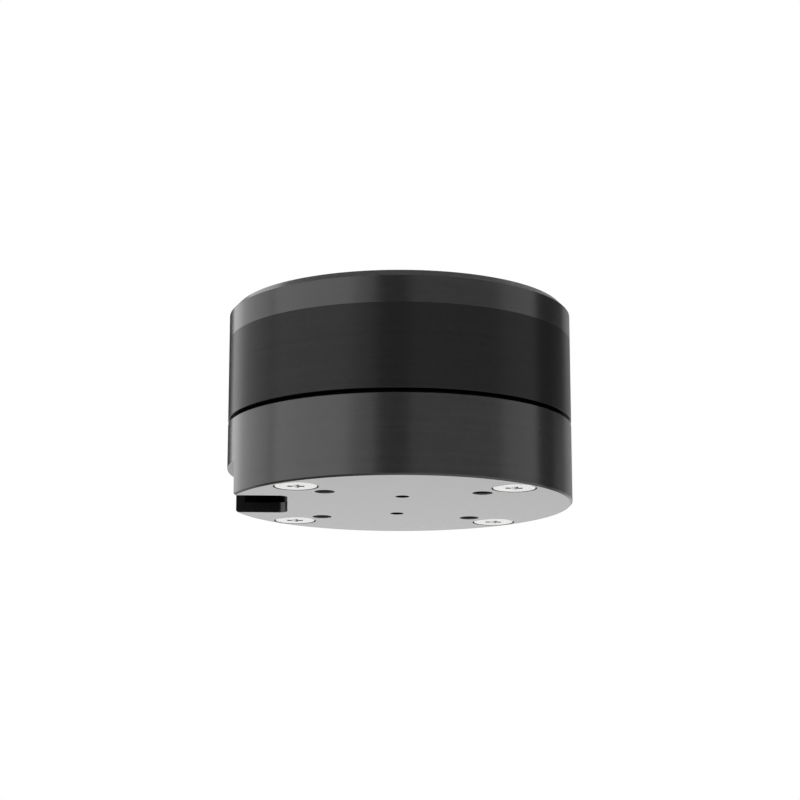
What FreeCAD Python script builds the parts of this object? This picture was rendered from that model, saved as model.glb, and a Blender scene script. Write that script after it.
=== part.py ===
import FreeCAD, Part
import math
import os

# Gimbal motor: a turning can lined with magnets runs around a fixed wound stator, and an angle
# sensor sits under the shaft in a closed base. Millimetres. Z is the axis of rotation, z = 0 is
# the underside, and the cable slot faces -X.

# Outside form
OUTER_R = 20.0
BASE_HEIGHT = 9.05
SEAM = 0.5
RING_TOP = 19.1
TOTAL_HEIGHT = 22.9
TOP_CHAMFER = 0.8
EDGE_BREAK = 0.2
FINE_BREAK = 0.05

# Base housing
FLOOR = 1.2
CAVITY_R = 19.0
PLATE_SEAT = 6.6
CORNER_ANGLE = 45.0
CORNERS = 4
SLOT_WIDTH = 12.0
SLOT_DEPTH = 7.0
SLOT_ROOF = 4.0
SLOT_CORNER_R = 1.05
CUT_PAST = 1.0
SAME_PLACE = 1e-6

# Countersunk screws that hold the base housing to the stator mount
SCREW_CIRCLE_R = 17.07
SCREW_R = 1.25
SCREW_CLEARANCE_R = 1.4
SCREW_HEAD_R = 2.37
SCREW_HEAD_SINK = 0.02
SCREW_LENGTH = 8.0
SCREW_HOLE_TOP = 8.3
SCREW_SEAT_R = 2.54
SCREW_SEAT_DEPTH = 0.2
SCREW_BOSS_R = 2.7
CROSS_R = 1.01
CROSS_ARM = 0.7
CROSS_DEPTH = 0.9

# Threaded mounting holes in the underside
MOUNT_CIRCLE_R = 12.5
MOUNT_HOLE_R = 1.15
MOUNT_HOLE_DEPTH = 4.4
MOUNT_BOSS_R = 2.2
MOUNT_BOSS_TOP = 5.4
BOSS_RIB = 2.6

# Sensor board and the parts on it
BOARD_BOTTOM = 2.0
BOARD_THICK = 1.0
BOARD_R = 9.9
BOARD_TAB_END = 12.6
BOARD_TAB_WIDTH = 10.4
BOARD_SCREW_OFFSET = 6.0
BOARD_SCREW_R = 0.8
BOARD_HOLE_R = 0.95
BOARD_SCREW_HEAD_R = 1.6
BOARD_SCREW_HEAD = 1.0
BOARD_SCREW_END = 0.7
STANDOFF_R = 1.8
REST_PAD_X = 7.6
CHIP_SIZE = (4.4, 5.0, 0.9)
CHIP_LIFT = 0.06
CHIP_LEADS_PER_SIDE = 7
CHIP_LEAD_PITCH = 0.65
CHIP_LEAD_WIDTH = 0.24
CHIP_LEAD_THICK = 0.14
CHIP_LEAD_REACH = 3.2
CAPACITOR_SIZE = (0.8, 1.6, 0.8)
CAPACITOR_X = 5.2
CAPACITOR_Y = 1.5
PAD_THICK = 0.1
PAD_LENGTH = 1.8
PAD_INSET = 0.4
SIGNAL_PADS = 6
SIGNAL_PAD_WIDTH = 0.7
PHASE_PADS = 3
PHASE_PAD_WIDTH = 1.1
PAD_GAP = 0.35

# Stator mount: a plate in the base housing with a bearing tube
PLATE_R = 18.95
PLATE_THICK = 2.0
LIP_BORE_R = 17.2
LIP_R = 18.6
LIP_TOP = 9.9
CORE_SHOULDER_R = 11.2
TUBE_NECK_R = 7.0
LEAD_SLOT_R = 14.4
LEAD_SLOT_WIDTH = 2.2
LEAD_SLOT_ANGLE = 34.0

# Laminated stator and its coils
CORE_BOTTOM = 11.3
CORE_HEIGHT = 6.0
CORE_R = 17.5
CORE_BORE_R = 10.0
YOKE_R = 12.3
TEETH = 24
TOOTH_WIDTH = 1.8
SHOE_ROOT_R = 16.5
SLOT_OPENING = 1.0
COIL_INNER = 12.6
COIL_OUTER = 16.2
COIL_LINER = 0.1
COIL_WALL_INNER = 0.5
COIL_WALL_OUTER = 0.9
COIL_CORNER = 0.45
COILS_PER_RUN = 4
PHASES = ("a", "b", "c")

# Two shielded bearings, 8 x 16 x 4
BEARING_BORE_R = 4.0
BEARING_R = 8.0
BEARING_WIDTH = 4.0
INNER_RING_R = 5.3
OUTER_RING_BORE_R = 6.7
SHIELD_BORE_R = 5.5
SHIELD_THICK = 0.2
SHIELD_INSET = 0.1
LOWER_BEARING = 6.9
UPPER_BEARING = 14.5
SPRING_INNER_R = 7.15
SPRING_OUTER_R = 7.85
SPRING_THICK = 0.12
SPRING_HEIGHT = 0.3

# Rotor can
RING_BORE_R = 18.9
MAGNETS = 22
MAGNET_BORE_R = 17.85
MAGNET_BOTTOM = 10.3
MAGNET_LENGTH = 8.0
MAGNET_GAP_ANGLE = 1.6
CAP_PLATE = 2.4
CAP_WALL_BORE_R = 18.0
SPIGOT_BORE_R = 17.9
SPIGOT_LENGTH = 0.7
HUB_R = 9.6
HUB_NOSE_R = 5.1
HUB_NOSE = 0.4
PAYLOAD_CIRCLE_R = 8.0
PAYLOAD_HOLE_R = 1.15
PAYLOAD_HOLE_DEPTH = 3.4

# Hollow shaft and the parts at its lower end
SHAFT_BORE_R = 3.0
SHAFT_BOTTOM = 5.9
HOLDER_SEAT_R = 3.3
HOLDER_SEAT_TOP = 8.4
HOLDER_FLANGE_R = 4.0
SENSOR_MAGNET_R = 3.0
SENSOR_MAGNET_BOTTOM = 4.7
SENSOR_MAGNET_LENGTH = 2.5
CLIP_BOTTOM = 6.3
CLIP_THICK = 0.4
CLIP_GROOVE_R = 3.7
CLIP_R = 5.0
CLIP_OPENING_ANGLE = 70.0

# Heights that follow from the ones above
RING_BOTTOM = BASE_HEIGHT + SEAM
PLATE_TOP = PLATE_SEAT + PLATE_THICK
BOARD_TOP = BOARD_BOTTOM + BOARD_THICK
CORE_MIDDLE = CORE_BOTTOM + CORE_HEIGHT / 2
LOWER_BEARING_TOP = LOWER_BEARING + BEARING_WIDTH
UPPER_BEARING_TOP = UPPER_BEARING + BEARING_WIDTH
SPRING_SEAT = UPPER_BEARING - SPRING_HEIGHT
CAP_UNDERSIDE = TOTAL_HEIGHT - CAP_PLATE

ORIGIN = FreeCAD.Vector(0, 0, 0)
AXIS = FreeCAD.Vector(0, 0, 1)


def polar(radius, degrees):
    angle = math.radians(degrees)
    return radius * math.cos(angle), radius * math.sin(angle)


def flat_face(corners):
    return Part.Face(Part.makePolygon(corners + corners[:1]))


def lathe(*profile, sweep=360.0):
    """Turn a closed profile of (radius, height) corners about the motor's axis."""
    face = flat_face([FreeCAD.Vector(radius, 0, height) for radius, height in profile])
    return face.revolve(ORIGIN, AXIS, sweep)


def tube(bore, radius, bottom, top, sweep=360.0):
    return lathe((bore, bottom), (radius, bottom), (radius, top), (bore, top), sweep=sweep)


def post(radius, bottom, top, x=0.0, y=0.0):
    return Part.makeCylinder(radius, top - bottom, FreeCAD.Vector(x, y, bottom))


def block(x_low, x_high, y_low, y_high, bottom, top):
    corner = FreeCAD.Vector(x_low, y_low, bottom)
    return Part.makeBox(x_high - x_low, y_high - y_low, top - bottom, corner)


def moved(shape, x, y):
    copy = shape.copy()
    copy.translate(FreeCAD.Vector(x, y, 0))
    return copy


def turned(shape, degrees):
    copy = shape.copy()
    copy.rotate(ORIGIN, AXIS, degrees)
    return copy


def ring_of(shape, count, first=0.0):
    """Evenly spaced copies of a shape about the motor's axis."""
    return [turned(shape, first + 360.0 * i / count) for i in range(count)]


def at_corners(shape):
    return ring_of(shape, CORNERS, CORNER_ANGLE)


def cable_slot():
    """The opening through the floor and the side wall, with rounded inner corners."""
    inner_x = SLOT_DEPTH - OUTER_R
    slot = block(-OUTER_R - CUT_PAST, inner_x, -SLOT_WIDTH / 2, SLOT_WIDTH / 2, -CUT_PAST, SLOT_ROOF)
    inner_edges = [
        edge
        for edge in slot.Edges
        if all(abs(vertex.X - inner_x) < SAME_PLACE for vertex in edge.Vertexes)
        and abs(edge.Vertexes[0].Y - edge.Vertexes[1].Y) < SAME_PLACE
    ]
    return slot.makeFillet(SLOT_CORNER_R, inner_edges)


def screw_seat():
    """Clearance hole with a countersink and a shallow step around the screw head."""
    cone_depth = SCREW_HEAD_R - SCREW_CLEARANCE_R
    cone_top = SCREW_SEAT_DEPTH + cone_depth
    seat = lathe(
        (0, -CUT_PAST),
        (SCREW_SEAT_R, -CUT_PAST),
        (SCREW_SEAT_R, SCREW_SEAT_DEPTH),
        (SCREW_HEAD_R, SCREW_SEAT_DEPTH),
        (SCREW_CLEARANCE_R, cone_top),
        (SCREW_CLEARANCE_R, PLATE_SEAT + CUT_PAST),
        (0, PLATE_SEAT + CUT_PAST),
    )
    return moved(seat, SCREW_CIRCLE_R, 0)


def base_housing():
    """Thin cup with bosses for two rings of screws, on which the stator mount sits, and the cable slot."""
    shell = lathe(
        (0, 0),
        (OUTER_R - EDGE_BREAK, 0),
        (OUTER_R, EDGE_BREAK),
        (OUTER_R, BASE_HEIGHT - FINE_BREAK),
        (OUTER_R - FINE_BREAK, BASE_HEIGHT),
        (CAVITY_R, BASE_HEIGHT),
        (CAVITY_R, FLOOR),
        (0, FLOOR),
    )
    screw_boss = post(SCREW_BOSS_R, FLOOR, PLATE_SEAT, SCREW_CIRCLE_R)
    mount_boss = post(MOUNT_BOSS_R, FLOOR, MOUNT_BOSS_TOP, MOUNT_CIRCLE_R)
    rib = block(MOUNT_CIRCLE_R, SCREW_CIRCLE_R, -BOSS_RIB / 2, BOSS_RIB / 2, FLOOR, MOUNT_BOSS_TOP)
    bosses = at_corners(screw_boss) + at_corners(mount_boss) + at_corners(rib)
    standoffs = [post(STANDOFF_R, FLOOR, BOARD_BOTTOM, 0, y) for y in board_screw_places()]
    standoffs.append(post(STANDOFF_R, FLOOR, BOARD_BOTTOM, REST_PAD_X))
    body = shell.multiFuse(bosses + standoffs)
    mount_hole = post(MOUNT_HOLE_R, -CUT_PAST, MOUNT_HOLE_DEPTH, MOUNT_CIRCLE_R)
    board_holes = [post(BOARD_SCREW_R, -CUT_PAST, BOARD_TOP, 0, y) for y in board_screw_places()]
    cuts = at_corners(screw_seat()) + at_corners(mount_hole) + board_holes
    return body.cut(cuts + [cable_slot()]).removeSplitter()


def cross_recess():
    """Tapered four-armed driver recess, opening downwards at z = 0."""
    cone = Part.makeCone(CROSS_R, CROSS_ARM / 2, CROSS_DEPTH)
    arm = block(-CROSS_R, CROSS_R, -CROSS_ARM / 2, CROSS_ARM / 2, 0, CROSS_DEPTH)
    return cone.common(arm.fuse(turned(arm, 90)))


def housing_screw():
    neck = SCREW_SEAT_DEPTH + SCREW_HEAD_R - SCREW_R
    tip = SCREW_HEAD_SINK + SCREW_LENGTH
    screw = lathe(
        (0, SCREW_HEAD_SINK),
        (SCREW_HEAD_R - FINE_BREAK, SCREW_HEAD_SINK),
        (SCREW_HEAD_R, SCREW_HEAD_SINK + FINE_BREAK),
        (SCREW_HEAD_R, SCREW_SEAT_DEPTH),
        (SCREW_R, neck),
        (SCREW_R, tip),
        (0, tip),
    )
    recess = cross_recess()
    recess.translate(FreeCAD.Vector(0, 0, SCREW_HEAD_SINK))
    return screw.cut(recess)


def housing_screws():
    """Screws at the four corners, all with one arm of the recess along X."""
    places = [polar(SCREW_CIRCLE_R, CORNER_ANGLE + 360.0 * i / CORNERS) for i in range(CORNERS)]
    return [moved(housing_screw(), x, y) for x, y in places]


def board_screw_places():
    return (-BOARD_SCREW_OFFSET, BOARD_SCREW_OFFSET)


def sensor_board():
    """Round board with a tab towards the cable slot."""
    half_tab = BOARD_TAB_WIDTH / 2
    disc = post(BOARD_R, BOARD_BOTTOM, BOARD_TOP)
    tab = block(-BOARD_TAB_END, 0, -half_tab, half_tab, BOARD_BOTTOM, BOARD_TOP)
    holes = [post(BOARD_HOLE_R, BOARD_BOTTOM, BOARD_TOP, 0, y) for y in board_screw_places()]
    return disc.fuse(tab).cut(holes).removeSplitter()


def board_screws():
    head_top = BOARD_TOP + BOARD_SCREW_HEAD
    screw = lathe(
        (0, BOARD_SCREW_END),
        (BOARD_SCREW_R, BOARD_SCREW_END),
        (BOARD_SCREW_R, BOARD_TOP),
        (BOARD_SCREW_HEAD_R, BOARD_TOP),
        (BOARD_SCREW_HEAD_R, head_top - EDGE_BREAK),
        (BOARD_SCREW_HEAD_R - EDGE_BREAK, head_top),
        (0, head_top),
    )
    return [moved(screw, 0, y) for y in board_screw_places()]


def sensor_chip():
    length_x, length_y, height = CHIP_SIZE
    bottom = BOARD_TOP + CHIP_LIFT
    return block(-length_x / 2, length_x / 2, -length_y / 2, length_y / 2, bottom, bottom + height)


def chip_leads():
    """Bent leads along the two long sides of the chip."""
    root_x = CHIP_SIZE[0] / 2
    waist = BOARD_TOP + CHIP_LIFT + CHIP_SIZE[2] / 2
    knee_x = (root_x + CHIP_LEAD_REACH) / 2
    outline = [
        (root_x, waist),
        (root_x, waist + CHIP_LEAD_THICK),
        (knee_x, waist + CHIP_LEAD_THICK),
        (knee_x, BOARD_TOP + CHIP_LEAD_THICK),
        (CHIP_LEAD_REACH, BOARD_TOP + CHIP_LEAD_THICK),
        (CHIP_LEAD_REACH, BOARD_TOP),
        (knee_x - CHIP_LEAD_THICK, BOARD_TOP),
        (knee_x - CHIP_LEAD_THICK, waist),
    ]
    face = flat_face([FreeCAD.Vector(x, -CHIP_LEAD_WIDTH / 2, z) for x, z in outline])
    lead = face.extrude(FreeCAD.Vector(0, CHIP_LEAD_WIDTH, 0))
    first_y = -CHIP_LEAD_PITCH * (CHIP_LEADS_PER_SIDE - 1) / 2
    one_side = [moved(lead, 0, first_y + CHIP_LEAD_PITCH * i) for i in range(CHIP_LEADS_PER_SIDE)]
    return one_side + [turned(row, 180) for row in one_side]


def board_capacitors():
    half_x, half_y = CAPACITOR_SIZE[0] / 2, CAPACITOR_SIZE[1] / 2
    top = BOARD_TOP + CAPACITOR_SIZE[2]
    return [
        block(CAPACITOR_X - half_x, CAPACITOR_X + half_x, y - half_y, y + half_y, BOARD_TOP, top)
        for y in (-CAPACITOR_Y, CAPACITOR_Y)
    ]


def lead_pads():
    """Solder pads along the board's tab: one row for the signals, then the motor phases."""
    widths = [SIGNAL_PAD_WIDTH] * SIGNAL_PADS + [PHASE_PAD_WIDTH] * PHASE_PADS
    x_low = PAD_INSET - BOARD_TAB_END
    y = -(sum(widths) + PAD_GAP * (len(widths) - 1)) / 2
    pads = []
    for width in widths:
        pads.append(block(x_low, x_low + PAD_LENGTH, y, y + width, BOARD_TOP, BOARD_TOP + PAD_THICK))
        y += width + PAD_GAP
    return pads


def stator_mount():
    """Plate that closes the base housing, with a dust lip and a tube for the bearings and stator."""
    body = lathe(
        (BEARING_R, PLATE_SEAT),
        (PLATE_R, PLATE_SEAT),
        (PLATE_R, PLATE_TOP),
        (LIP_R, PLATE_TOP),
        (LIP_R, LIP_TOP),
        (LIP_BORE_R, LIP_TOP),
        (LIP_BORE_R, PLATE_TOP),
        (CORE_SHOULDER_R, PLATE_TOP),
        (CORE_SHOULDER_R, CORE_BOTTOM),
        (CORE_BORE_R, CORE_BOTTOM),
        (CORE_BORE_R, UPPER_BEARING_TOP),
        (BEARING_R, UPPER_BEARING_TOP),
        (BEARING_R, SPRING_SEAT),
        (TUBE_NECK_R, SPRING_SEAT),
        (TUBE_NECK_R, LOWER_BEARING_TOP),
        (BEARING_R, LOWER_BEARING_TOP),
    )
    screw_hole = post(SCREW_R, PLATE_SEAT - CUT_PAST, SCREW_HOLE_TOP, SCREW_CIRCLE_R)
    slot_low = LEAD_SLOT_R - LEAD_SLOT_WIDTH / 2
    slot_high = LEAD_SLOT_R + LEAD_SLOT_WIDTH / 2
    lead_slot = tube(slot_low, slot_high, PLATE_SEAT - CUT_PAST, PLATE_TOP + CUT_PAST, LEAD_SLOT_ANGLE)
    lead_slot = turned(lead_slot, 180 - LEAD_SLOT_ANGLE / 2)
    return body.cut(at_corners(screw_hole) + [lead_slot])


def stator_core():
    """Stack of steel sheets: a yoke with teeth that widen into shoes at the air gap."""
    bottom, top = CORE_BOTTOM, CORE_BOTTOM + CORE_HEIGHT
    yoke = tube(CORE_BORE_R, YOKE_R, bottom, top)
    half_tooth = TOOTH_WIDTH / 2
    tooth = block(CORE_BORE_R + CUT_PAST, SHOE_ROOT_R + half_tooth, -half_tooth, half_tooth, bottom, top)
    shoe_angle = 360.0 / TEETH - math.degrees(SLOT_OPENING / CORE_R)
    shoe = turned(tube(SHOE_ROOT_R + half_tooth / 2, CORE_R, bottom, top, shoe_angle), -shoe_angle / 2)
    return yoke.multiFuse(ring_of(tooth.fuse(shoe), TEETH)).removeSplitter()


def coil_outline(x, wall):
    """Corners of one end of a coil: a rectangle around the tooth with cut corners."""
    half_y = TOOTH_WIDTH / 2 + COIL_LINER + wall
    half_z = CORE_HEIGHT / 2 + COIL_LINER + wall
    quarter = [(half_y, half_z - COIL_CORNER), (half_y - COIL_CORNER, half_z)]
    outline = quarter + [(-y, z) for y, z in reversed(quarter)]
    outline += [(-y, -z) for y, z in quarter] + [(y, -z) for y, z in reversed(quarter)]
    return [FreeCAD.Vector(x, y, CORE_MIDDLE + z) for y, z in outline]


def tapered_bar(low, high):
    """Solid between two outlines whose sides are parallel in pairs, so every side is flat."""
    faces = [flat_face(low), flat_face(high)]
    for i in range(len(low)):
        faces.append(flat_face([low[i - 1], low[i], high[i], high[i - 1]]))
    return Part.Solid(Part.Shell(faces))


def coil():
    """One coil, thicker towards the air gap, where the slot is wider."""
    low = coil_outline(COIL_INNER, COIL_WALL_INNER)
    body = tapered_bar(low, coil_outline(COIL_OUTER, COIL_WALL_OUTER))
    half_y = TOOTH_WIDTH / 2 + COIL_LINER
    half_z = CORE_HEIGHT / 2 + COIL_LINER
    core = block(COIL_INNER, COIL_OUTER, -half_y, half_y, CORE_MIDDLE - half_z, CORE_MIDDLE + half_z)
    return body.cut(core)


def phase_coils(phase):
    """The coils of one phase: runs of neighbouring teeth, one run in every three."""
    coils = ring_of(coil(), TEETH)
    return [c for i, c in enumerate(coils) if i // COILS_PER_RUN % len(PHASES) == phase]


def bearing_shields(bottom):
    low = bottom + SHIELD_INSET
    high = bottom + BEARING_WIDTH - SHIELD_INSET - SHIELD_THICK
    return [tube(SHIELD_BORE_R, OUTER_RING_BORE_R, z, z + SHIELD_THICK) for z in (low, high)]


def bearing_outer_ring(bottom):
    return tube(OUTER_RING_BORE_R, BEARING_R, bottom, bottom + BEARING_WIDTH)


def bearing_inner_ring(bottom):
    return tube(BEARING_BORE_R, INNER_RING_R, bottom, bottom + BEARING_WIDTH)


def preload_spring():
    """Conical spring washer between the tube's step and the upper bearing's outer ring."""
    return lathe(
        (SPRING_INNER_R, SPRING_SEAT),
        (SPRING_OUTER_R, UPPER_BEARING - SPRING_THICK),
        (SPRING_OUTER_R, UPPER_BEARING),
        (SPRING_INNER_R, SPRING_SEAT + SPRING_THICK),
    )


def payload_hole():
    """Blind hole in the cap with a broken edge, for a threaded screw from above."""
    bottom = TOTAL_HEIGHT - PAYLOAD_HOLE_DEPTH
    hole = lathe(
        (0, bottom),
        (PAYLOAD_HOLE_R, bottom),
        (PAYLOAD_HOLE_R, TOTAL_HEIGHT - EDGE_BREAK),
        (PAYLOAD_HOLE_R + EDGE_BREAK, TOTAL_HEIGHT),
        (PAYLOAD_HOLE_R + EDGE_BREAK, TOTAL_HEIGHT + CUT_PAST),
        (0, TOTAL_HEIGHT + CUT_PAST),
    )
    return moved(hole, PAYLOAD_CIRCLE_R, 0)


def rotor_cap():
    """Top of the can: chamfered plate, spigot in the flux ring, and a hub over the upper bearing."""
    spigot_bottom = RING_TOP - SPIGOT_LENGTH
    body = lathe(
        (BEARING_BORE_R, UPPER_BEARING_TOP),
        (HUB_NOSE_R, UPPER_BEARING_TOP),
        (HUB_NOSE_R, UPPER_BEARING_TOP + HUB_NOSE),
        (HUB_R, UPPER_BEARING_TOP + HUB_NOSE),
        (HUB_R, CAP_UNDERSIDE),
        (CAP_WALL_BORE_R, CAP_UNDERSIDE),
        (SPIGOT_BORE_R, RING_TOP),
        (SPIGOT_BORE_R, spigot_bottom),
        (RING_BORE_R, spigot_bottom),
        (RING_BORE_R, RING_TOP),
        (OUTER_R, RING_TOP),
        (OUTER_R, TOTAL_HEIGHT - TOP_CHAMFER),
        (OUTER_R - TOP_CHAMFER, TOTAL_HEIGHT),
        (BEARING_BORE_R + FINE_BREAK, TOTAL_HEIGHT),
        (BEARING_BORE_R, TOTAL_HEIGHT - FINE_BREAK),
    )
    return body.cut(at_corners(payload_hole()))


def flux_ring():
    return lathe(
        (RING_BORE_R, RING_BOTTOM),
        (OUTER_R - FINE_BREAK, RING_BOTTOM),
        (OUTER_R, RING_BOTTOM + FINE_BREAK),
        (OUTER_R, RING_TOP),
        (RING_BORE_R, RING_TOP),
    )


def rotor_magnets():
    angle = 360.0 / MAGNETS - MAGNET_GAP_ANGLE
    magnet = tube(MAGNET_BORE_R, RING_BORE_R, MAGNET_BOTTOM, MAGNET_BOTTOM + MAGNET_LENGTH, angle)
    return ring_of(magnet, MAGNETS, -angle / 2)


def hollow_shaft():
    groove_top = CLIP_BOTTOM + CLIP_THICK
    return lathe(
        (HOLDER_SEAT_R, SHAFT_BOTTOM),
        (BEARING_BORE_R, SHAFT_BOTTOM),
        (BEARING_BORE_R, CLIP_BOTTOM),
        (CLIP_GROOVE_R, CLIP_BOTTOM),
        (CLIP_GROOVE_R, groove_top),
        (BEARING_BORE_R, groove_top),
        (BEARING_BORE_R, TOTAL_HEIGHT - FINE_BREAK),
        (BEARING_BORE_R - FINE_BREAK, TOTAL_HEIGHT),
        (SHAFT_BORE_R + EDGE_BREAK, TOTAL_HEIGHT),
        (SHAFT_BORE_R, TOTAL_HEIGHT - EDGE_BREAK),
        (SHAFT_BORE_R, HOLDER_SEAT_TOP),
        (HOLDER_SEAT_R, HOLDER_SEAT_TOP),
    )


def bearing_spacer():
    return tube(BEARING_BORE_R, HUB_NOSE_R, LOWER_BEARING_TOP, UPPER_BEARING)


def shim_washer():
    return tube(BEARING_BORE_R, HUB_NOSE_R, CLIP_BOTTOM + CLIP_THICK, LOWER_BEARING)


def retaining_clip():
    sweep = 360.0 - CLIP_OPENING_ANGLE
    clip = tube(CLIP_GROOVE_R, CLIP_R, CLIP_BOTTOM, CLIP_BOTTOM + CLIP_THICK, sweep)
    return turned(clip, CLIP_OPENING_ANGLE / 2)


def magnet_holder():
    """Flanged cup pressed into the shaft, with the sensor magnet in its mouth."""
    pocket_top = SENSOR_MAGNET_BOTTOM + SENSOR_MAGNET_LENGTH
    return lathe(
        (SENSOR_MAGNET_R, SENSOR_MAGNET_BOTTOM),
        (HOLDER_FLANGE_R, SENSOR_MAGNET_BOTTOM),
        (HOLDER_FLANGE_R, SHAFT_BOTTOM),
        (HOLDER_SEAT_R, SHAFT_BOTTOM),
        (HOLDER_SEAT_R, HOLDER_SEAT_TOP),
        (0, HOLDER_SEAT_TOP),
        (0, pocket_top),
        (SENSOR_MAGNET_R, pocket_top),
    )


def sensor_magnet():
    return post(SENSOR_MAGNET_R, SENSOR_MAGNET_BOTTOM, SENSOR_MAGNET_BOTTOM + SENSOR_MAGNET_LENGTH)


def fixed_pieces():
    pieces = {
        "base_housing": [base_housing()],
        "housing_screws": housing_screws(),
        "sensor_board": [sensor_board()],
        "board_screws": board_screws(),
        "sensor_chip": [sensor_chip()],
        "chip_leads": chip_leads(),
        "board_capacitors": board_capacitors(),
        "lead_pads": lead_pads(),
        "stator_mount": [stator_mount()],
        "stator_core": [stator_core()],
        "preload_spring": [preload_spring()],
    }
    for i, phase in enumerate(PHASES):
        pieces["coils_phase_" + phase] = phase_coils(i)
    for place, bottom in (("lower", LOWER_BEARING), ("upper", UPPER_BEARING)):
        pieces[place + "_bearing_outer_ring"] = [bearing_outer_ring(bottom)]
        pieces[place + "_bearing_shields"] = bearing_shields(bottom)
    return pieces


def turning_pieces():
    return {
        "rotor_cap": [rotor_cap()],
        "flux_ring": [flux_ring()],
        "rotor_magnets": rotor_magnets(),
        "hollow_shaft": [hollow_shaft()],
        "lower_bearing_inner_ring": [bearing_inner_ring(LOWER_BEARING)],
        "upper_bearing_inner_ring": [bearing_inner_ring(UPPER_BEARING)],
        "bearing_spacer": [bearing_spacer()],
        "shim_washer": [shim_washer()],
        "retaining_clip": [retaining_clip()],
        "magnet_holder": [magnet_holder()],
        "sensor_magnet": [sensor_magnet()],
    }


def write_parts(pieces):
    os.makedirs("parts", exist_ok=True)
    for name, solids in pieces.items():
        shape = solids[0] if len(solids) == 1 else Part.makeCompound(solids)
        shape.exportStep(os.path.join("parts", name + ".step"))


write_parts(fixed_pieces() | turning_pieces())
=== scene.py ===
import math

import bmesh
import bpy
from mathutils import Euler, Matrix, Vector


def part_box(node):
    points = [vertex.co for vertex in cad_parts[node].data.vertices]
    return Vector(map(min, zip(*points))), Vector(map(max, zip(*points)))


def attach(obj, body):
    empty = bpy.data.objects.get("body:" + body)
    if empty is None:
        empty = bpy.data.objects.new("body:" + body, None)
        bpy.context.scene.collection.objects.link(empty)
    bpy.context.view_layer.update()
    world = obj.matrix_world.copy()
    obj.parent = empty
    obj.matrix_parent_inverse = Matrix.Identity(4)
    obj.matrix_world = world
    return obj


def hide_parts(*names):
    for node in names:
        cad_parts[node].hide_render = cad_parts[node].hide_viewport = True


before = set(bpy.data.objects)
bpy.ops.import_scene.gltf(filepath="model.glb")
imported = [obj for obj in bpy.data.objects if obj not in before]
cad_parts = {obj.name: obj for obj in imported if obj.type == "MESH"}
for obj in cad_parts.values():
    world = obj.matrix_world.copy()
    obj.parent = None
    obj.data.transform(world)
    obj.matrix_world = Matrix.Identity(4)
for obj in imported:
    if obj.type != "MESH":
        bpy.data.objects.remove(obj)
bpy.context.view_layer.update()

# A flat gimbal motor, seen from a little below. Metres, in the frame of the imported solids: z = 0 is
# the underside, Z is the axis of rotation, and the cable slot faces -X.

MM = 0.001
FULL_TURN = 2.0 * math.pi
CORNERS = 4
CORNER_ANGLE = math.radians(45.0)

# Camera: Blender's focal length in millimetres, and angles in degrees
LENS = 94.26
CAMERA_PLACE = (-12.56 * MM, -239.67 * MM, -39.67 * MM)
CAMERA_LEVEL = 90.0
CAMERA_TILT = 12.262
CAMERA_PAN = -3.010

# Studio: a floor well below the motor, an even fill light, and cards that only reflections show
FLOOR_Z = -0.20
FLOOR_HALF = 3.0
FLOOR_GREYS = (0.86, 0.88)
FLOOR_GLOW = 0.39
FILL_LEVEL = 0.70
CARD_RADIUS = 0.62
CARD_STEP = 5.0
FLOOR_CARD_NEAR = 0.30
FLOOR_CARD_Z = FLOOR_Z + 0.01
ROUND_CARD_SIDES = 32

# Sectors that the cards fill, in degrees round the motor: 0 is in front, 90 on the right
LEFT = (-151.0, -18.0)
LEFT_EDGE = (-36.0, -25.0)
MIDDLE = (-18.0, 3.0)
FRONT = (3.0, 66.5)
SIDE = (66.5, 98.5)
RIGHT = (98.5, 119.0)
FAR_RIGHT = (119.0, 138.0)
BACK_RIGHT = (138.0, 172.0)
FLOOR_RIGHT = (98.5, 134.0)
FLOOR_BACK_RIGHT = (134.0, 172.0)
BACK = (172.0, 209.0)

# Threaded holes: four in the underside, four in the cap
HOLE_R = 1.15 * MM
MOUNT_CIRCLE_R = 12.5 * MM
MOUNT_HOLE_DEPTH = 4.4 * MM
PAYLOAD_CIRCLE_R = 8.0 * MM
PAYLOAD_HOLE_DEPTH = 3.4 * MM
THREAD_PITCH = 0.45 * MM
THREAD_HALF = THREAD_PITCH * 0.42
THREAD_HEIGHT = 0.13 * MM
THREAD_LEAST = 0.02
THREAD_START = 0.35 * MM
THREAD_BITE = 0.02 * MM
THREAD_STEPS = 40

# Screws in the underside: heights over which the walls and the bottom of their recess darken as painted
# shade
SCREW_CIRCLE_R = 17.07 * MM
RECESS_WALLS = (0.03 * MM, 0.08 * MM)
RECESS_BOTTOM = (0.53 * MM, 0.83 * MM)

# Housing: its round cavity and the cable slot through its wall and floor, where painted shade darkens it,
# and the heights over which the painted sheen of its underside ends and the bare metal at the mouths of its
# holes gives way to painted shade
CAVITY_R = 19.0 * MM
CAVITY_MARGIN = 0.2 * MM
SLOT_HALF = 6.0 * MM
SLOT_ROOF = 4.0 * MM
UNDERSIDE_SKIN = (0.05 * MM, 0.10 * MM)
HOLE_MOUTH = (0.10 * MM, 0.22 * MM)

# Coils
TEETH = 24
COILS_PER_RUN = 4
PHASES = ("a", "b", "c")
COIL_INNER_R = 12.6 * MM
COIL_OUTER_R = 16.2 * MM
COIL_WALL_INNER = 0.5 * MM
COIL_WALL_OUTER = 0.9 * MM
TOOTH_HALF = 0.9 * MM
CORE_HALF = 3.0 * MM
LINER = 0.1 * MM
WIRE_R = 0.15 * MM
WIRE_SIDES = 6
WIRE_CORNER_R = 0.3 * MM
WIRE_CORNER_STEPS = 4

# Sensor board: spacing of its copper runs and of its wavy layers of glass cloth
RUN_PITCH = 0.4 * MM
CLOTH_PITCH = 0.2 * MM
CLOTH_WAVE = 0.05 * MM

# Sheets of the stator core
SHEET = 0.35 * MM

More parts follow.
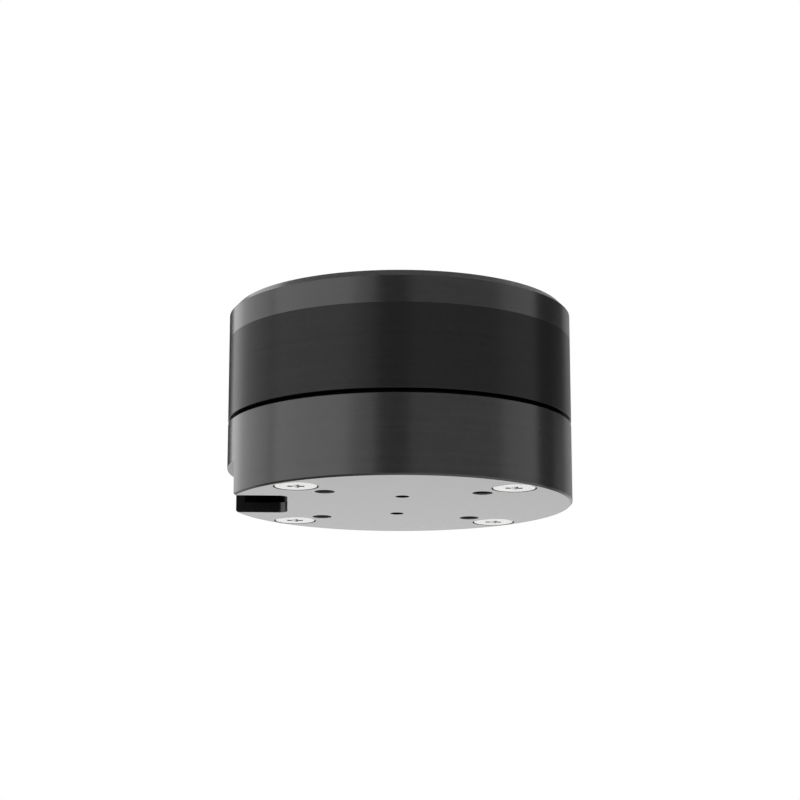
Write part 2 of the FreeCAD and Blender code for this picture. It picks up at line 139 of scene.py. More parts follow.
# Greys of the finishes, a darker and a lighter one where they vary
CAP_GREYS = (0.019, 0.023)
HOUSING_GREYS = (0.022, 0.027)
# Underside: a paler grey as painted sheen on a face that is black anodised like the sides
UNDERSIDE_SHEEN_GREYS = (0.205, 0.24)
# Cavity and cable slot of the housing: painted shade
INSIDE_PAINTED_SHADE = 0.007
TAPPED_GREY = 0.20
ANODISED_WORN = 0.08
COAT_GREYS = (0.024, 0.0284)
COAT_WORN = 0.06
# Downward faces of the black coat: painted shade
COAT_PAINTED_SHADE = 0.002
# Screw recesses: painted shade
RECESS_PAINTED_SHADE = 0.30

# Patterns of the finishes, in cells per metre
TURNING_BANDS = 1500.0
TURNING_MARKS = 9000.0
DYE_CLOUDS = 900.0
ANODISED_SCUFFS = 1900.0
BLASTED_GRAIN = 14000.0
# Bands in the painted sheen of the underside
UNDERSIDE_SHEEN_BANDS = 2200.0
COAT_CLOUDS = 2600.0
COAT_BANDS = 2200.0
COAT_SCUFFS = 2300.0
COAT_RIPPLE = 3600.0
DRAWING_MARKS = 12000.0
METAL_STAINS = 700.0
METAL_MARKS = 7000.0
TINNED_MARKS = 4000.0
BOARD_PATCHES = 350.0
GLASS_WEAVE = 5200.0
SHEET_STAINS = 1200.0
ENAMEL_CLOUDS = 2600.0
FLOOR_CLOUDS = 6.0

# Relief of the finishes: depths, and the strength of the anodised grain and turning marks
ANODISED_DEPTH = 0.002 * MM
RIPPLE_DEPTH = 0.002 * MM
DRAWING_DEPTH = 0.003 * MM
METAL_DEPTH = 0.006 * MM
ENAMEL_DEPTH = 0.006 * MM
MOULD_DEPTH = 0.01 * MM
COPPER_DEPTH = 0.02 * MM
SHEET_GROOVE = 0.03 * MM
SIDE_RELIEF = 0.06
TOP_MARKS = 0.5
UNDERSIDE_GRAIN = 0.01
UNDERSIDE_MARKS = 0.02

# Width of the wear along sharp edges
ANODISED_WEAR = 0.16 * MM
COAT_WEAR = 0.12 * MM
METAL_WEAR = 0.1 * MM

# Masks: how far the normal turns at an edge, how straight a face looks up or down, how far a limit
# fades out, and how much of x goes into the pattern of a turned surface
EDGE_TURN = (0.006, 0.05)
FLAT_FACING = (0.90, 0.97)
LIMIT_FADE = (0.02 * MM, 0.1 * MM)
LATHE_DRIFT = 0.02


class Finish:
    """A procedural material, built up one node at a time."""

    def __init__(self, name):
        self.material = bpy.data.materials.new(name)
        self.material.use_nodes = True
        self.tree = self.material.node_tree
        self.tree.nodes.clear()
        output = self.tree.nodes.new("ShaderNodeOutputMaterial")
        self.shader = self.tree.nodes.new("ShaderNodeBsdfPrincipled")
        self.tree.links.new(self.shader.outputs["BSDF"], output.inputs["Surface"])
        self.place = self.tree.nodes.new("ShaderNodeTexCoord").outputs["Object"]
        self.surface = self.tree.nodes.new("ShaderNodeNewGeometry")

    def node(self, kind, inputs=(), **settings):
        node = self.tree.nodes.new("ShaderNode" + kind)
        for key, value in settings.items():
            setattr(node, key, value)
        for key, value in dict(inputs).items():
            self.put(node.inputs[key], value)
        return node

    def put(self, socket, value):
        """Link a socket to an output, or give it a plain value."""
        if isinstance(value, bpy.types.NodeSocket):
            self.tree.links.new(value, socket)
        else:
            socket.default_value = value

    def set(self, **values):
        """Give the shader's inputs their values, with _ for each blank in a name."""
        for key, value in values.items():
            self.put(self.shader.inputs[key.replace("_", " ")], value)
        return self

    def linked(self, key):
        """The output that one of the shader's inputs is linked to."""
        return self.shader.inputs[key].links[0].from_socket

    def math(self, operation, a, b=0.0):
        return self.node("Math", {0: a, 1: b}, operation=operation).outputs[0]

    def product(self, first, *others):
        for other in others:
            first = self.math("MULTIPLY", first, other)
        return first

    def remap(self, value, low, high, new_low, new_high):
        inputs = {"Value": value, "From Min": low, "From Max": high, "To Min": new_low, "To Max": new_high}
        return self.node("MapRange", inputs).outputs["Result"]

    def rise(self, value, start, end, top=1.0):
        """0 up to the start, and the top past the end."""
        return self.remap(value, start, end, 0.0, top)

    def fall(self, value, start, end):
        """1 up to the start, and 0 past the end."""
        return self.remap(value, start, end, 1.0, 0.0)

    def between(self, mask, low, high):
        """Low where a mask is 0, and high where it is 1."""
        return self.remap(mask, 0.0, 1.0, low, high)

    def spread(self, pattern, half, low=0.0, high=1.0):
        """The middle of a pattern, half to each side of 0.5, stretched from low to high."""
        return self.remap(pattern, 0.5 - half, 0.5 + half, low, high)

    def split(self, vector):
        return self.node("SeparateXYZ", {0: vector}).outputs

    def join(self, x, y, z):
        return self.node("CombineXYZ", {0: x, 1: y, 2: z}).outputs[0]

    def noise(self, vector, scale, detail=3.0):
        inputs = {"Vector": vector, "Scale": scale, "Detail": detail}
        return self.node("TexNoise", inputs).outputs["Fac"]

    def mix(self, factor, a, b):
        node = self.node("Mix", data_type="RGBA")
        self.put(node.inputs["Factor"], factor)
        self.put(node.inputs["A"], a)
        self.put(node.inputs["B"], b)
        return node.outputs["Result"]

    def bump(self, height, depth, strength, under=None):
        """Relief of a given depth, over other relief if there is any."""
        inputs = {"Height": height, "Distance": depth, "Strength": strength}
        if under is not None:
            inputs["Normal"] = under
        return self.node("Bump", inputs).outputs["Normal"]

    def edges(self, width):
        """1 along the sharp edges of the solid, 0 away from them."""
        rounded = self.node("Bevel", {"Radius": width}, samples=4).outputs["Normal"]
        normals = {0: rounded, 1: self.surface.outputs["Normal"]}
        facing = self.node("VectorMath", normals, operation="DOT_PRODUCT").outputs["Value"]
        return self.rise(self.math("SUBTRACT", 1.0, facing), *EDGE_TURN)

    def slope(self):
        """Height of the true normal: 1 faces up, -1 faces down."""
        return self.split(self.surface.outputs["True Normal"])[2]

    def facing(self, sign):
        """1 where the solid faces straight up (sign 1.0) or straight down (-1.0), 0 elsewhere."""
        return self.rise(self.math("MULTIPLY", self.slope(), sign), *FLAT_FACING)

    def below(self, value, limit):
        """1 up to a limit, fading to 0 just past it."""
        return self.fall(value, limit + LIMIT_FADE[0], limit + LIMIT_FADE[1])

    def blend(self, a, b, share):
        """Two patterns added, the second with the given share."""
        return self.math("ADD", self.math("MULTIPLY", a, 1.0 - share), self.math("MULTIPLY", b, share))

    def lathe(self, circle=None):
        """Place as (distance from the axis, height, a little of x), for turned surfaces.

        With a circle, the axis is that of the nearest of the four corners on it.
        """
        x, y, z = self.split(self.place)[:3]
        if circle is not None:
            corner = circle * math.cos(CORNER_ANGLE)
            x = self.math("SUBTRACT", self.math("ABSOLUTE", x), corner)
            y = self.math("SUBTRACT", self.math("ABSOLUTE", y), corner)
        radius = self.math("SQRT", self.math("ADD", self.product(x, x), self.product(y, y)))
        return self.join(radius, z, self.math("MULTIPLY", x, LATHE_DRIFT))

    def stripes(self, along, pitch):
        """Distance from the middle of each stripe, 0 to 0.5, for stripes of a given pitch."""
        within = self.math("FRACT", self.math("DIVIDE", along, pitch))
        return self.math("ABSOLUTE", self.math("SUBTRACT", within, 0.5))


def grey(level):
    return (level, level, level, 1.0)


def shade(colour, share=1.0):
    """A colour made darker or lighter, as a socket takes it."""
    return (*(min(1.0, part * share) for part in colour), 1.0)


def black_anodised(name, greys):
    """Anodised aluminium: faint bands from turning, uneven dye, and edges rubbed a little paler."""
    f = Finish(name)
    bands = f.noise(f.lathe(), TURNING_BANDS, detail=4.0)
    clouds = f.noise(f.place, DYE_CLOUDS, detail=4.0)
    tone = f.spread(f.blend(bands, clouds, share=0.4), half=0.12)
    colour = f.mix(tone, *map(grey, greys))
    scuffs = f.noise(f.place, ANODISED_SCUFFS, detail=5.0)
    wear = f.product(f.edges(ANODISED_WEAR), f.rise(scuffs, 0.45, 0.65, top=0.25))
    colour = f.mix(wear, colour, grey(ANODISED_WORN))
    rough = f.spread(f.noise(f.lathe(), TURNING_MARKS), half=0.2, low=0.195, high=0.225)
    return f.set(Base_Color=colour, Roughness=rough, IOR=1.5)


def turned_relief(f, grain, marks):
    """Fine blasted grain with turning marks over it, each of its own strength."""
    blasted = f.noise(f.place, BLASTED_GRAIN, detail=2.0)
    turned = f.noise(f.lathe(), TURNING_MARKS)
    return f.bump(turned, ANODISED_DEPTH, marks, under=f.bump(blasted, ANODISED_DEPTH, grain))


def cap_finish(name):
    """Anodised cap, with deeper turning marks across its flat top."""
    f = black_anodised(name, CAP_GREYS)
    marks = f.between(f.facing(1.0), SIDE_RELIEF, TOP_MARKS)
    return f.set(Normal=turned_relief(f, SIDE_RELIEF, marks))


def inside_housing(f):
    """1 in the cavity and the cable slot, 0 outside them."""
    x, y, height = f.split(f.place)[:3]
    cavity = f.below(f.split(f.lathe())[0], CAVITY_R + CAVITY_MARGIN)
    across = f.below(f.math("ABSOLUTE", y), SLOT_HALF)
    slot = f.product(across, f.below(height, SLOT_ROOF), f.below(x, 0.0))
    return f.math("MAXIMUM", cavity, slot)


def hole_mouths(f):
    """1 just inside the mounting holes, 0 deeper in them and outside them."""
    height = f.split(f.place)[2]
    from_hole = f.split(f.lathe(MOUNT_CIRCLE_R))[0]
    # The fall with depth stands for painted shade inside the hole
    return f.product(f.fall(height, *HOLE_MOUTH), f.below(from_hole, HOLE_R))


def housing_finish(name):
    """Anodised outside, a paler underside as painted sheen, painted shade in the cavity and slot, and bare
    metal at the mouths of the tapped holes that gives way to painted shade further in.
    """
    f = black_anodised(name, HOUSING_GREYS)
    deep = f.rise(f.split(f.place)[2], *UNDERSIDE_SKIN)
    # Cavity and slot darkened almost to black: painted shade
    colour = f.mix(f.product(deep, inside_housing(f)), f.linked("Base Color"), grey(INSIDE_PAINTED_SHADE))
    # Bare metal at the worn mouths of the tapped holes, fading to the anodised colour a little way in as
    # painted shade
    colour = f.mix(f.product(deep, hole_mouths(f)), colour, grey(TAPPED_GREY))
    # The downward underside gets a paler grey as painted sheen, with faint bands and clouds in it
    flat = f.product(f.facing(-1.0), f.math("SUBTRACT", 1.0, deep))
    bands = f.noise(f.lathe(), UNDERSIDE_SHEEN_BANDS)
    clouds = f.noise(f.place, DYE_CLOUDS, detail=4.0)
    painted_sheen = f.mix(f.blend(bands, clouds, share=0.4), *map(grey, UNDERSIDE_SHEEN_GREYS))
    rough = f.math("SUBTRACT", f.linked("Roughness"), f.math("MULTIPLY", flat, 0.03))
    grain = f.between(flat, SIDE_RELIEF, UNDERSIDE_GRAIN)
    marks = f.between(flat, SIDE_RELIEF, UNDERSIDE_MARKS)
    relief = turned_relief(f, grain, marks)
    return f.set(Base_Color=f.mix(flat, colour, painted_sheen), Roughness=rough, Normal=relief)


def blackened_steel(name):
    """Drawn steel tube under a thin black coat that keeps some of its shine, with a faint ripple, and
    painted shade on its downward faces.
    """
    f = Finish(name)
    clouds = f.noise(f.place, COAT_CLOUDS)
    tone = f.blend(clouds, f.noise(f.lathe(), COAT_BANDS), share=0.5)
    colour = f.mix(f.spread(tone, half=0.15), *map(grey, COAT_GREYS))
    scuffs = f.noise(f.place, COAT_SCUFFS, detail=5.0)
    wear = f.product(f.edges(COAT_WEAR), f.rise(scuffs, 0.5, 0.7, top=0.2))
    colour = f.mix(wear, colour, grey(COAT_WORN))
    # Downward faces painted almost black: painted shade
    colour = f.mix(f.facing(-1.0), colour, grey(COAT_PAINTED_SHADE))
    rough = f.spread(tone, half=0.2, low=0.22, high=0.25)
    ripple = f.bump(f.noise(f.place, COAT_RIPPLE, detail=2.0), RIPPLE_DEPTH, 0.06)
    relief = f.bump(f.noise(f.lathe(), DRAWING_MARKS, detail=2.0), DRAWING_DEPTH, 0.12, under=ripple)
    f.set(Base_Color=colour, Roughness=rough, Normal=relief)
    return f.set(Metallic=0.40, Specular_IOR_Level=0.03, IOR=1.5)


def machined_metal(name, colour, rough, circle=None, marks=METAL_MARKS, tarnish=0.12, relief=0.3):
    """Bare or plated metal with turning marks, small stains and brighter edges."""
    f = Finish(name)
    stains = f.spread(f.noise(f.place, METAL_STAINS, detail=5.0), half=0.2)
    tone = f.mix(stains, shade(colour, 1.0 - 2.0 * tarnish), shade(colour))
    wear = f.math("MULTIPLY", f.edges(METAL_WEAR), 0.5)
    tone = f.mix(wear, tone, shade(colour, 1.15))
    turning = f.noise(f.lathe(circle), marks)
    gloss = f.spread(turning, half=0.2, low=rough * 0.8, high=rough * 1.25)
    normal = f.bump(turning, METAL_DEPTH, relief)
    return f.set(Base_Color=tone, Metallic=1.0, Roughness=gloss, Normal=normal)


def screw_finish(name, colour):
    """Bright screw heads, with painted shade on the steep walls and at the bottom of their recess."""
    f = machined_metal(name, colour, rough=0.22, circle=SCREW_CIRCLE_R, tarnish=0.06, relief=0.08)
    height = f.split(f.place)[2]
    steep = f.fall(f.math("ABSOLUTE", f.slope()), 0.45, 0.75)
    walls = f.product(f.rise(height, *RECESS_WALLS), steep)
    recess_shade = f.math("MAXIMUM", walls, f.rise(height, *RECESS_BOTTOM))
    return f.set(Base_Color=f.mix(recess_shade, f.linked("Base Color"), grey(RECESS_PAINTED_SHADE)))


def circuit_board(name):
    """Green resist over copper runs on the faces, and layers of glass cloth along the cut edge."""
    f = Finish(name)
    x, y, z = f.split(f.place)[:3]
    patches = f.node("TexVoronoi", {"Vector": f.place, "Scale": BOARD_PATCHES}, distance="CHEBYCHEV")
    first, second = f.split(patches.outputs["Color"])[:2]
    across = f.mix(f.math("GREATER_THAN", first, 0.5), f.join(x, x, x), f.join(y, y, y))
    run = f.fall(f.stripes(f.split(across)[0], RUN_PITCH), 0.20, 0.24)
    copper = f.product(run, f.math("GREATER_THAN", second, 0.35))
    face = f.mix(copper, shade((0.006, 0.05, 0.022)), shade((0.016, 0.10, 0.042)))
    weave = f.noise(f.place, GLASS_WEAVE, detail=2.0)
    wavy = f.math("ADD", z, f.math("MULTIPLY", weave, CLOTH_WAVE))
    resin = f.rise(f.stripes(wavy, CLOTH_PITCH), 0.25, 0.45)
    laminate = f.mix(resin, shade((0.19, 0.18, 0.075)), shade((0.09, 0.10, 0.04)))
    flat = f.math("MAXIMUM", f.facing(1.0), f.facing(-1.0))
    relief = f.bump(f.blend(copper, weave, share=0.25), COPPER_DEPTH, 0.5)
    rough = f.remap(f.blend(flat, weave, share=0.4), 0.1, 0.8, 0.62, 0.30)
    return f.set(Base_Color=f.mix(flat, laminate, face), Roughness=rough, Normal=relief)


def moulded(name, colour, grain, rough, specular=0.5):
    """Moulded, fired or painted body with a fine even grain, in cells per metre."""
    f = Finish(name)
    spots = f.noise(f.place, grain)
    tone = f.mix(f.spread(spots, half=0.15), shade(colour, 0.8), shade(colour))
    gloss = f.spread(spots, half=0.2, low=rough * 0.85, high=rough * 1.15)
    relief = f.bump(spots, MOULD_DEPTH, 0.4)
    return f.set(Base_Color=tone, Roughness=gloss, Normal=relief, Specular_IOR_Level=specular)


def laminated_steel(name, bottom):
    """Edges of stacked steel sheets with dark insulation between them."""
    f = Finish(name)
    height = f.math("SUBTRACT", f.split(f.place)[2], bottom)
    joint = f.rise(f.stripes(height, SHEET), 0.40, 0.48)
    stain = f.noise(f.place, SHEET_STAINS, detail=4.0)
    steel = f.mix(stain, shade((0.22, 0.225, 0.24)), shade((0.36, 0.365, 0.38)))
    colour = f.mix(joint, steel, shade((0.03, 0.03, 0.035)))
    rough = f.spread(stain, half=0.2, low=0.32, high=0.45)
    relief = f.bump(joint, SHEET_GROOVE, 0.6)
    return f.set(Base_Color=colour, Metallic=0.8, Roughness=rough, Normal=relief)


def enamelled_copper(name):
    """Magnet wire: copper of uneven tone under clear enamel."""
    f = Finish(name)
    tone = f.noise(f.place, ENAMEL_CLOUDS)
    colour = f.mix(f.spread(tone, half=0.15), shade((0.48, 0.15, 0.05)), shade((0.72, 0.30, 0.12)))
    rough = f.spread(tone, half=0.2, low=0.22, high=0.34)
    f.set(Base_Color=colour, Metallic=1.0, Roughness=rough, Normal=f.bump(tone, ENAMEL_DEPTH, 0.2))
    return f.set(Coat_Weight=0.6, Coat_Roughness=0.12)


def add_object(name, data):
    thing = bpy.data.objects.new(name, data)
    bpy.context.scene.collection.objects.link(thing)
    return thing


def new_piece(name, mesh, body, finish):
    piece = add_object(name, mesh)
    mesh.materials.append(finish.material)
    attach(piece, body)
    return piece


def mesh_from(name, build, smooth=True):
    """Mesh of the shape that a function builds."""
    mesh = bpy.data.meshes.new(name)
    shape = bmesh.new()
    build(shape)
    bmesh.ops.recalc_face_normals(shape, faces=shape.faces)
    for face in shape.faces:
        face.smooth = smooth
    shape.to_mesh(mesh)
    shape.free()
    return mesh


def sweep(shape, rings):
    """Skin a list of equal rings of points, and close the first and last."""
    loops = [[shape.verts.new(point) for point in ring] for ring in rings]
    for near, far in zip(loops, loops[1:]):
        for i in range(len(near)):
            shape.faces.new((near[i - 1], near[i], far[i], far[i - 1]))
    shape.faces.new(loops[0])
    shape.faces.new(loops[-1])


def polar(radius, angle, z=0.0):
    return Vector((radius * math.cos(angle), radius * math.sin(angle), z))


def thread_rings(centre, low, high):
    """Triangular ridge that climbs the wall of a hole from low to high, fading out at both ends."""
    count = int((high - low) / THREAD_PITCH * THREAD_STEPS)
    root = HOLE_R + THREAD_BITE
    rings = []
    for i in range(count + 1):
        angle = FULL_TURN * i / THREAD_STEPS
        z = low + THREAD_PITCH * i / THREAD_STEPS
        fade = min(1.0, i / THREAD_STEPS, (count - i) / THREAD_STEPS)
        crest = HOLE_R - THREAD_HEIGHT * max(fade, THREAD_LEAST)
        profile = ((root, z - THREAD_HALF), (crest, z), (root, z + THREAD_HALF))
        rings.append([centre + polar(radius, angle, height) for radius, height in profile])
    return rings


def hole_threads(name, circle, low, high):
    """Threads of the four holes on a circle."""
    def build(shape):
        for i in range(CORNERS):
            centre = polar(circle, CORNER_ANGLE + FULL_TURN * i / CORNERS)
            sweep(shape, thread_rings(centre, low, high))
    return mesh_from(name, build, smooth=False)


def winding_path(middle):
    """Points of one coil's outer layer, wound outwards along the tooth on +X and thicker at its tip."""
    length = COIL_OUTER_R - COIL_INNER_R
    turns = int(length / (2.0 * WIRE_R))
    quarter = [math.pi / 2.0 * i / WIRE_CORNER_STEPS for i in range(WIRE_CORNER_STEPS + 1)]
    per_turn = CORNERS * len(quarter)
    points = []
    for i in range(turns * per_turn):
        corner, step = divmod(i % per_turn, len(quarter))
        share = (i + 0.5) / (turns * per_turn)
        wall = COIL_WALL_INNER + (COIL_WALL_OUTER - COIL_WALL_INNER) * share - WIRE_R
        half_y = TOOTH_HALF + LINER + wall - WIRE_CORNER_R
        half_z = CORE_HALF + LINER + wall - WIRE_CORNER_R
        sign_y = 1.0 if corner in (0, 3) else -1.0
        sign_z = 1.0 if corner in (0, 1) else -1.0
        angle = corner * math.pi / 2.0 + quarter[step]
        x = COIL_INNER_R + WIRE_R + (length - 2.0 * WIRE_R) * share
        y = sign_y * half_y + WIRE_CORNER_R * math.cos(angle)
        z = middle + sign_z * half_z + WIRE_CORNER_R * math.sin(angle)
        points.append(Vector((x, y, z)))
    return points


def wire_rings(path):
    """Round wire along a path of points."""
    rings = []
    for i, point in enumerate(path):
        ahead = path[min(i + 1, len(path) - 1)] - path[max(i - 1, 0)]
        ahead.normalize()
        across = ahead.cross(Vector((1.0, 0.0, 0.0))).normalized()
        along = across.cross(ahead)
        ring = []
        for k in range(WIRE_SIDES):
            angle = FULL_TURN * k / WIRE_SIDES
            ring.append(point + WIRE_R * (across * math.cos(angle) + along * math.sin(angle)))
        rings.append(ring)
    return rings


def phase_winding(name, phase, rings):
    """The wire of one coil, on each tooth of a phase."""
    def build(shape):
        for tooth in range(TEETH):
            if tooth // COILS_PER_RUN % len(PHASES) != phase:
                continue
            turn = Matrix.Rotation(FULL_TURN * tooth / TEETH, 3, "Z")
            sweep(shape, [[turn @ point for point in ring] for ring in rings])
    return mesh_from(name, build)


def wind_coils(finish):
    """Wire in place of the plain coils."""
    low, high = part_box("stator_core")
    rings = wire_rings(winding_path((low[2] + high[2]) / 2.0))
    for i, phase in enumerate(PHASES):
        name = "winding_phase_" + phase
        piece = new_piece(name, phase_winding(name, i, rings), "stator", finish)
        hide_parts("coils_phase_" + phase)


def cut_threads():
    """Threads in the holes of the underside and of the cap."""
    tapped = moulded("tapped_metal", (0.06, 0.06, 0.06), grain=5000.0, rough=0.35)
    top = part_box("rotor_cap")[1][2]
    holes = (
        ("mount_hole_threads", "stator", MOUNT_CIRCLE_R, 0.0, MOUNT_HOLE_DEPTH),
        ("payload_hole_threads", "rotor", PAYLOAD_CIRCLE_R, top - PAYLOAD_HOLE_DEPTH, top),
    )
    for name, body, circle, low, high in holes:
        mesh = hole_threads(name, circle, low + THREAD_START, high - THREAD_START)
        new_piece(name, mesh, body, tapped)


def dress(node, finish):
    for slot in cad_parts[node].material_slots:
        slot.material = finish.material


def finish_nodes():
    """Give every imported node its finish, and add the pieces that are too fine for the solids."""
    core_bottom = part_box("stator_core")[0][2]
    copper = enamelled_copper("enamelled_copper")
    steel = machined_metal("ground_steel", (0.66, 0.66, 0.68), rough=0.14)
    pressed = machined_metal("pressed_steel", (0.55, 0.55, 0.56), rough=0.30)
    shaft = machined_metal("shaft_steel", (0.47, 0.47, 0.48), rough=0.36)
    blackened = blackened_steel("blackened_steel")
    tinned = machined_metal("tinned_metal", (0.75, 0.75, 0.73), rough=0.26,
                            marks=TINNED_MARKS, tarnish=0.08)
    nickel = machined_metal("nickel_plating", (0.58, 0.57, 0.55), rough=0.25)
    brass = machined_metal("turned_brass", (0.70, 0.52, 0.22), rough=0.25)
    # Stator mount: a black part, made almost lightless with little shine so the seam under the flux ring
    # reads dark: partly its own colour, partly painted shade
    seam_shade_black = moulded("black_coat_and_seam_shade", (0.003, 0.003, 0.003), grain=4000.0, rough=0.8, specular=0.05)
    plastic = moulded("chip_plastic", (0.020, 0.020, 0.022), grain=6000.0, rough=0.55)
    ceramic = moulded("capacitor_ceramic", (0.42, 0.28, 0.17), grain=3500.0, rough=0.40)
    finishes = {
        "base_housing": housing_finish("black_anodised_housing"),
        "stator_mount": seam_shade_black,
        "rotor_cap": cap_finish("black_anodised"),
        "flux_ring": blackened,
        "housing_screws": screw_finish("screw_steel", (0.82, 0.82, 0.81)),
        "board_screws": blackened,
        "sensor_board": circuit_board("circuit_board"),
        "sensor_chip": plastic,
        "board_capacitors": ceramic,
        "chip_leads": tinned,
        "lead_pads": tinned,
        "stator_core": laminated_steel("laminated_steel", core_bottom),
        "rotor_magnets": nickel,
        "sensor_magnet": nickel,
        "hollow_shaft": shaft,
        "bearing_spacer": shaft,
        "preload_spring": pressed,
        "shim_washer": pressed,
        "retaining_clip": pressed,
        "magnet_holder": brass,
    }
    for place in ("lower", "upper"):
        finishes[place + "_bearing_outer_ring"] = steel
        finishes[place + "_bearing_inner_ring"] = steel
        finishes[place + "_bearing_shields"] = pressed
    for phase in PHASES:
        finishes["coils_phase_" + phase] = copper
    for node, finish in finishes.items():
        dress(node, finish)
    cut_threads()
    wind_coils(copper)


def seen_ray(tree):
    """1 for what the camera sees directly, in a reflection or through glass, and 0 for other light."""
    ray = tree.nodes.new("ShaderNodeLightPath")
    seen = ray.outputs["Is Camera Ray"]
    for kind in ("Is Glossy Ray", "Is Transmission Ray"):
        either = tree.nodes.new("ShaderNodeMath")
        either.operation = "MAXIMUM"
        tree.links.new(seen, either.inputs[0])
        tree.links.new(ray.outputs[kind], either.inputs[1])
        seen = either.outputs[0]
    return seen


def build_world():
    """White where it is seen, and an even fill light otherwise."""
    world = bpy.data.worlds.new("studio")
    bpy.context.scene.world = world
    world.use_nodes = True
    nodes, links = world.node_tree.nodes, world.node_tree.links
    nodes.clear()
    choose = nodes.new("ShaderNodeMixShader")
    links.new(seen_ray(world.node_tree), choose.inputs["Fac"])
    for socket, strength in ((choose.inputs[1], FILL_LEVEL), (choose.inputs[2], 1.0)):
        light = nodes.new("ShaderNodeBackground")
        light.inputs["Color"].default_value = grey(1.0)
        light.inputs["Strength"].default_value = strength
        links.new(light.outputs[0], socket)
    output = nodes.new("ShaderNodeOutputWorld")
    links.new(choose.outputs[0], output.inputs["Surface"])


def build_floor():
    """Pale floor that keeps the shadow and is nearly white where it is seen."""
    mesh = bpy.data.meshes.new("floor")
    signs = ((-1, -1), (1, -1), (1, 1), (-1, 1))
    mesh.from_pydata([(x * FLOOR_HALF, y * FLOOR_HALF, FLOOR_Z) for x, y in signs], [], [range(len(signs))])
    floor = add_object("floor", mesh)
    f = Finish("pale_floor")
    tone = f.mix(f.noise(f.place, FLOOR_CLOUDS, detail=2.0), *map(grey, FLOOR_GREYS))
    f.set(Base_Color=tone, Roughness=0.9, Specular_IOR_Level=0.1)
    f.set(Emission_Color=grey(1.0), Emission_Strength=f.math("MULTIPLY", seen_ray(f.tree), FLOOR_GLOW))
    mesh.materials.append(f.material)


def add_card(name, points, faces, level):
    """Grey card that only the motor's reflections show."""
    mesh = bpy.data.meshes.new(name)
    mesh.from_pydata(points, [], faces)
    card = add_object(name, mesh)
    f = Finish(name)
    f.set(Base_Color=grey(level), Roughness=1.0, Specular_IOR_Level=0.0)
    mesh.materials.append(f.material)
    card.visible_camera = False
    card.visible_diffuse = False
    card.visible_shadow = False
    card.visible_transmission = False
    return f


def arc_card(name, sector, edges, level):
    """Card that fills a sector between two edges, each a radius and a height."""
    first, last = sector
    steps = max(2, int((last - first) / CARD_STEP))
    points = []
    for i in range(steps + 1):
        angle = math.radians(first + (last - first) * i / steps)
        for radius, height in edges:
            points.append((radius * math.sin(angle), -radius * math.cos(angle), height))
    faces = [(2 * i, 2 * i + 2, 2 * i + 3, 2 * i + 1) for i in range(steps)]
    return add_card(name, points, faces, level)


def wall_card(name, sector, top, level, bottom=0.0):
    """Upright card, from the level of the underside where no other is given."""
    return arc_card(name, sector, ((CARD_RADIUS, bottom), (CARD_RADIUS, top)), level)


def floor_card(name, sector, reach, level):
    """Flat card just above the floor."""
    arc_card(name, sector, ((FLOOR_CARD_NEAR, FLOOR_CARD_Z), (reach, FLOOR_CARD_Z)), level)


def round_card(name, x, radius, height, level):
    """Flat round card above or below the motor."""
    points = []
    for i in range(ROUND_CARD_SIDES):
        angle = FULL_TURN * i / ROUND_CARD_SIDES
        points.append((x + radius * math.cos(angle), radius * math.sin(angle), height))
    return add_card(name, points, [range(ROUND_CARD_SIDES)], level)


def let_glow(card, first, last, left, right):
    """Let a card glow by itself, from one grey on the left to another on the right.

    The first and the last are the x between which it changes.
    """
    along = card.rise(card.split(card.place)[0], first, last)
    card.set(Emission_Color=card.mix(along, grey(left), grey(right)), Emission_Strength=1.0)


def soft_box(name, turn, lift, distance, size, radiance):
    """Soft box that faces the motor. Degrees round it, 0 in front and 90 on the right, and above it."""
    width, height = size
    light = bpy.data.lights.new(name, "AREA")
    light.shape = "RECTANGLE"
    light.size = width
    light.size_y = height
    light.energy = radiance * math.pi * width * height
    lamp = add_object(name, light)
    a, e = math.radians(turn), math.radians(lift)
    away = Vector((math.sin(a) * math.cos(e), -math.cos(a) * math.cos(e), math.sin(e)))
    lamp.location = away * distance
    lamp.rotation_euler = away.to_track_quat("Z", "Y").to_euler()
    lamp.visible_camera = False


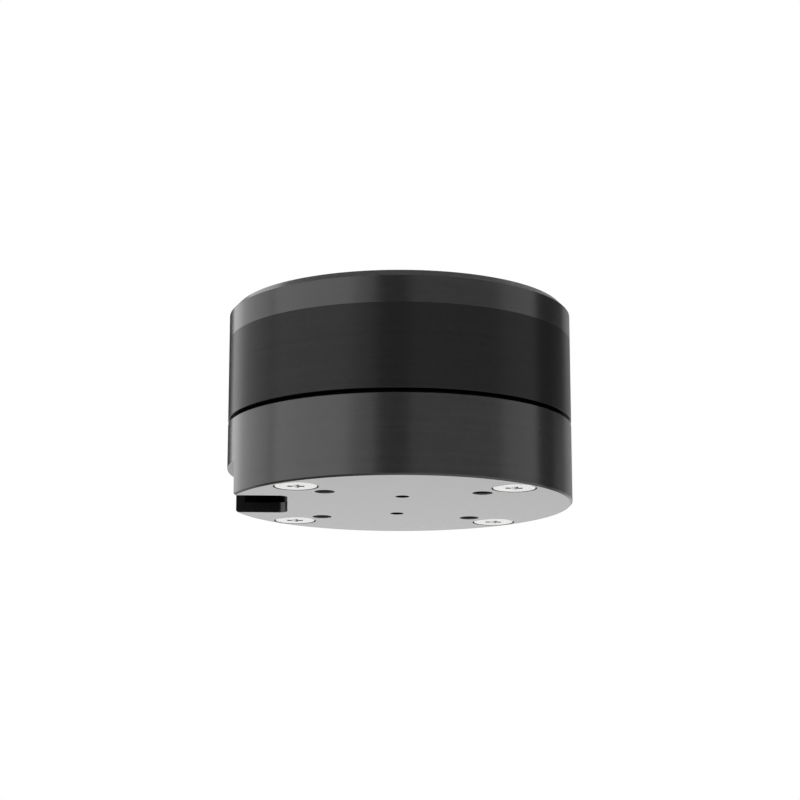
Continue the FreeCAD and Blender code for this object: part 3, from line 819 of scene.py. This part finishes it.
def build_studio():
    build_world()
    build_floor()
    soft_box("soft_box_left", turn=-63.5, lift=12.0, distance=0.50, size=(0.52, 0.60), radiance=0.935)
    soft_box("soft_box_back", turn=-116.5, lift=20.0, distance=0.55, size=(0.37, 0.52), radiance=0.44)
    soft_box("soft_box_rim", turn=-143.0, lift=20.0, distance=0.55, size=(0.165, 0.52), radiance=0.86)
    wall_card("card_middle", MIDDLE, top=0.60, level=0.04)
    wall_card("card_front", FRONT, top=0.60, level=0.66)
    wall_card("card_right", RIGHT, top=0.50, level=0.05)
    wall_card("card_far_right", FAR_RIGHT, top=0.135, level=0.33)
    wall_card("card_far_right_upper", FAR_RIGHT, bottom=0.135, top=0.50, level=0.12)
    wall_card("card_back_right", BACK_RIGHT, top=0.65, level=0.55)
    wall_card("card_back", BACK, top=0.30, level=0.04)
    floor_card("floor_card_left", LEFT, reach=0.70, level=0.82)
    floor_card("floor_card_middle", MIDDLE, reach=1.10, level=0.12)
    floor_card("floor_card_front", FRONT, reach=1.10, level=0.40)
    floor_card("floor_card_side", SIDE, reach=0.70, level=0.82)
    floor_card("floor_card_right", FLOOR_RIGHT, reach=1.10, level=0.12)
    floor_card("floor_card_back_right", FLOOR_BACK_RIGHT, reach=0.70, level=0.95)
    floor_card("floor_card_back", BACK, reach=0.48, level=0.25)
    round_card("card_top", x=-0.08, radius=0.60, height=0.60, level=0.50)
    below = round_card("card_below", x=0.0, radius=FLOOR_CARD_NEAR, height=FLOOR_CARD_Z, level=0.0)
    let_glow(below, first=-0.09, last=0.01, left=0.12, right=1.15)
    edge = wall_card("card_left_edge", LEFT_EDGE, bottom=0.15, top=0.50, level=0.0)
    let_glow(edge, first=-0.364, last=-0.262, left=1.8, right=1.1)


def place_camera():
    camera = bpy.data.cameras.new("camera")
    camera.lens = LENS
    eye = add_object("camera", camera)
    eye.location = CAMERA_PLACE
    eye.rotation_euler = Euler((math.radians(CAMERA_LEVEL + CAMERA_TILT), 0.0, math.radians(CAMERA_PAN)))
    bpy.context.scene.camera = eye


finish_nodes()
build_studio()
place_camera()
bpy.context.scene.view_settings.view_transform = "Standard"
